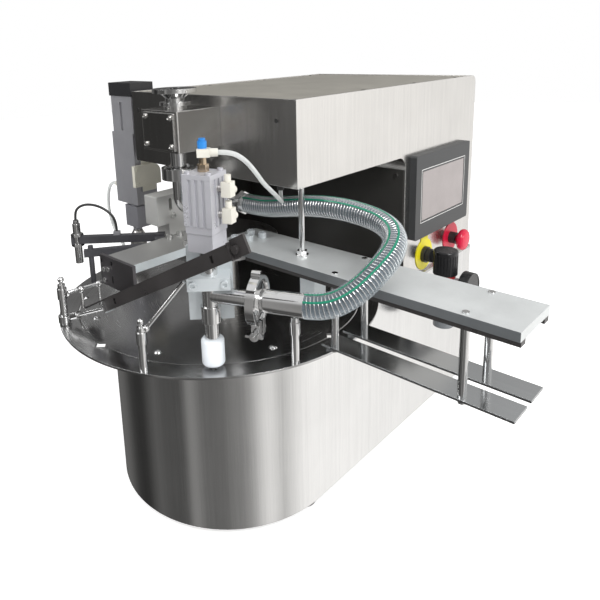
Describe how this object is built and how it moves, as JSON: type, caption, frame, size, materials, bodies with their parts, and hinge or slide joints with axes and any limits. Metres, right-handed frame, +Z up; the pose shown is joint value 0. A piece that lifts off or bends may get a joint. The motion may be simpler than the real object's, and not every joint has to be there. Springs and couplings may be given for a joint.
{
  "type": "piston liquid filler",
  "caption": "Bench-top rotary piston filler and capper for spouted pouches, with notched indexing disc, infeed track, dosing valve, nozzle and control column.",
  "frame": {"origin": "bottom centre of the whole machine without its hoses, tubes and cable, on the floor", "axes": "+Z up; -Y towards the round operator end; +X towards the pouch infeed"},
  "size_m": [0.7925, 0.763, 0.634],
  "materials": {
    "brushed_stainless": "vertical brushed stainless sheet",
    "dark_worktop": "polished stainless worktop reflecting a dark room",
    "turntable_steel": "satin turned stainless",
    "machined_steel": "fine machined stainless",
    "polished_steel": "polished stainless rod",
    "anodised_grey": "grey anodised aluminium",
    "cream_aluminium": "matt bead-blasted aluminium",
    "black_steel": "satin black finish",
    "black_plastic": "matt black",
    "white_acetal": "smooth white acetal",
    "panel_grey": "fine matt dark grey",
    "stop_red": "gloss red",
    "legend_yellow": "matt yellow with black collar",
    "hose_clear": "clear PVC with a steel spiral",
    "tube_white": "translucent white tube",
    "cable_grey": "matt grey cable",
    "gauge_face": "matt black case",
    "needle_white": "satin white",
    "zinc_plated": "bright zinc plate"
  },
  "bodies": {
    "machine_base": {"base_cabinet": "brushed_stainless", "rear_panel": "brushed_stainless", "cabinet_deck": "dark_worktop", "levelling_feet": "black_plastic", "guide_ring": "turntable_steel", "index_drive": "anodised_grey", "centre_column": "machined_steel", "tooling_hub": "machined_steel", "front_beam": "machined_steel", "riser_block": "cream_aluminium", "track_plate": "brushed_stainless", "track_strips": "black_steel", "track_rails": "turntable_steel", "track_posts": "polished_steel", "track_supports": "machined_steel", "guide_posts": "polished_steel", "guide_rods": "polished_steel", "inclined_bar": "black_steel", "bar_end_rod": "polished_steel", "sensor_arms": "machined_steel", "sensor_body": "polished_steel", "nozzle_mount": "machined_steel", "nozzle_clamp": "machined_steel", "nozzle_body": "polished_steel", "nozzle_tip": "white_acetal", "hose_pipe": "polished_steel", "tri_clamp": "polished_steel", "valve_cylinder": "anodised_grey", "cylinder_caps": "anodised_grey", "cylinder_fittings": "black_plastic", "hopper_ferrule": "polished_steel", "valve_box": "machined_steel", "spool_actuator": "anodised_grey", "outlet_pipe": "polished_steel", "feed_hose": "hose_clear", "housing_shell": "brushed_stainless", "housing_lid": "brushed_stainless", "dosing_cylinder": "machined_steel", "dosing_drive": "anodised_grey", "hmi_panel": "panel_grey", "control_bases": "legend_yellow", "regulator_body": "anodised_grey", "pressure_gauge": "gauge_face", "capper_slide": "anodised_grey", "air_loop": "tube_white", "air_tube": "tube_white", "sensor_cable": "cable_grey"},
    "turntable": {"rotary_disc": "turntable_steel", "disc_screws": "polished_steel", "rotary_hub": "machined_steel"},
    "nozzle_needle": {"nozzle_stem": "polished_steel"},
    "valve_spool": {"valve_spool": "machined_steel"},
    "dosing_piston": {"dosing_piston": "machined_steel"},
    "capper_carriage": {"capper_carriage": "anodised_grey"},
    "capper_chuck": {"capper_chuck": "machined_steel"},
    "stop_button": {"stop_button": "stop_red"},
    "selector_knob": {"selector_knob": "black_plastic"},
    "regulator_knob": {"regulator_knob": "black_plastic"},
    "gauge_needle": {"gauge_needle": "needle_white"},
    "wing_nut": {"wing_nut": "polished_steel"}
  },
  "joints": [
    {"name": "turntable_index", "type": "hinge", "parent": "machine_base", "child": "turntable", "pos_m": [-0.103, -0.1315, 0.3], "axis": [0, 0, 1], "continuous": true},
    {"name": "nozzle_lift", "type": "slide", "parent": "machine_base", "child": "nozzle_needle", "axis": [0, 0, 1], "range_m": [0, 0.012]},
    {"name": "valve_turn", "type": "hinge", "parent": "machine_base", "child": "valve_spool", "pos_m": [-0.112, -0.1935, 0.573], "axis": [0, 1, 0], "range_deg": [0, 90]},
    {"name": "dosing_stroke", "type": "slide", "parent": "machine_base", "child": "dosing_piston", "axis": [0, 1, 0], "range_m": [0, 0.12]},
    {"name": "capping_stroke", "type": "slide", "parent": "machine_base", "child": "capper_carriage", "axis": [0, 0, -1], "range_m": [0, 0.028]},
    {"name": "chuck_spin", "type": "hinge", "parent": "capper_carriage", "child": "capper_chuck", "pos_m": [-0.325, -0.1315, 0.36], "axis": [0, 0, 1], "continuous": true},
    {"name": "stop_press", "type": "slide", "parent": "machine_base", "child": "stop_button", "axis": [-1, 0, 0], "range_m": [0, 0.004], "stiffness_N_per_m": 600},
    {"name": "selector_turn", "type": "hinge", "parent": "machine_base", "child": "selector_knob", "pos_m": [0.087, 0.1975, 0.315], "axis": [1, 0, 0], "range_deg": [-45, 45]},
    {"name": "regulator_turn", "type": "hinge", "parent": "machine_base", "child": "regulator_knob", "pos_m": [0.137, 0.1625, 0.32], "axis": [0, 0, 1], "range_deg": [0, 360]},
    {"name": "needle_swing", "type": "hinge", "parent": "machine_base", "child": "gauge_needle", "pos_m": [0.174, 0.1725, 0.284], "axis": [1, 0, 0], "range_deg": [0, 270]},
    {"name": "clamp_nut_turn", "type": "hinge", "parent": "machine_base", "child": "wing_nut", "pos_m": [0.1097, -0.26367, 0.357], "axis": [0.4067, -0.9135, 0], "continuous": true}
  ],
  "couplings": [
    {"joint": "needle_swing", "follows": "regulator_turn", "ratio": 0.75}
  ]
}
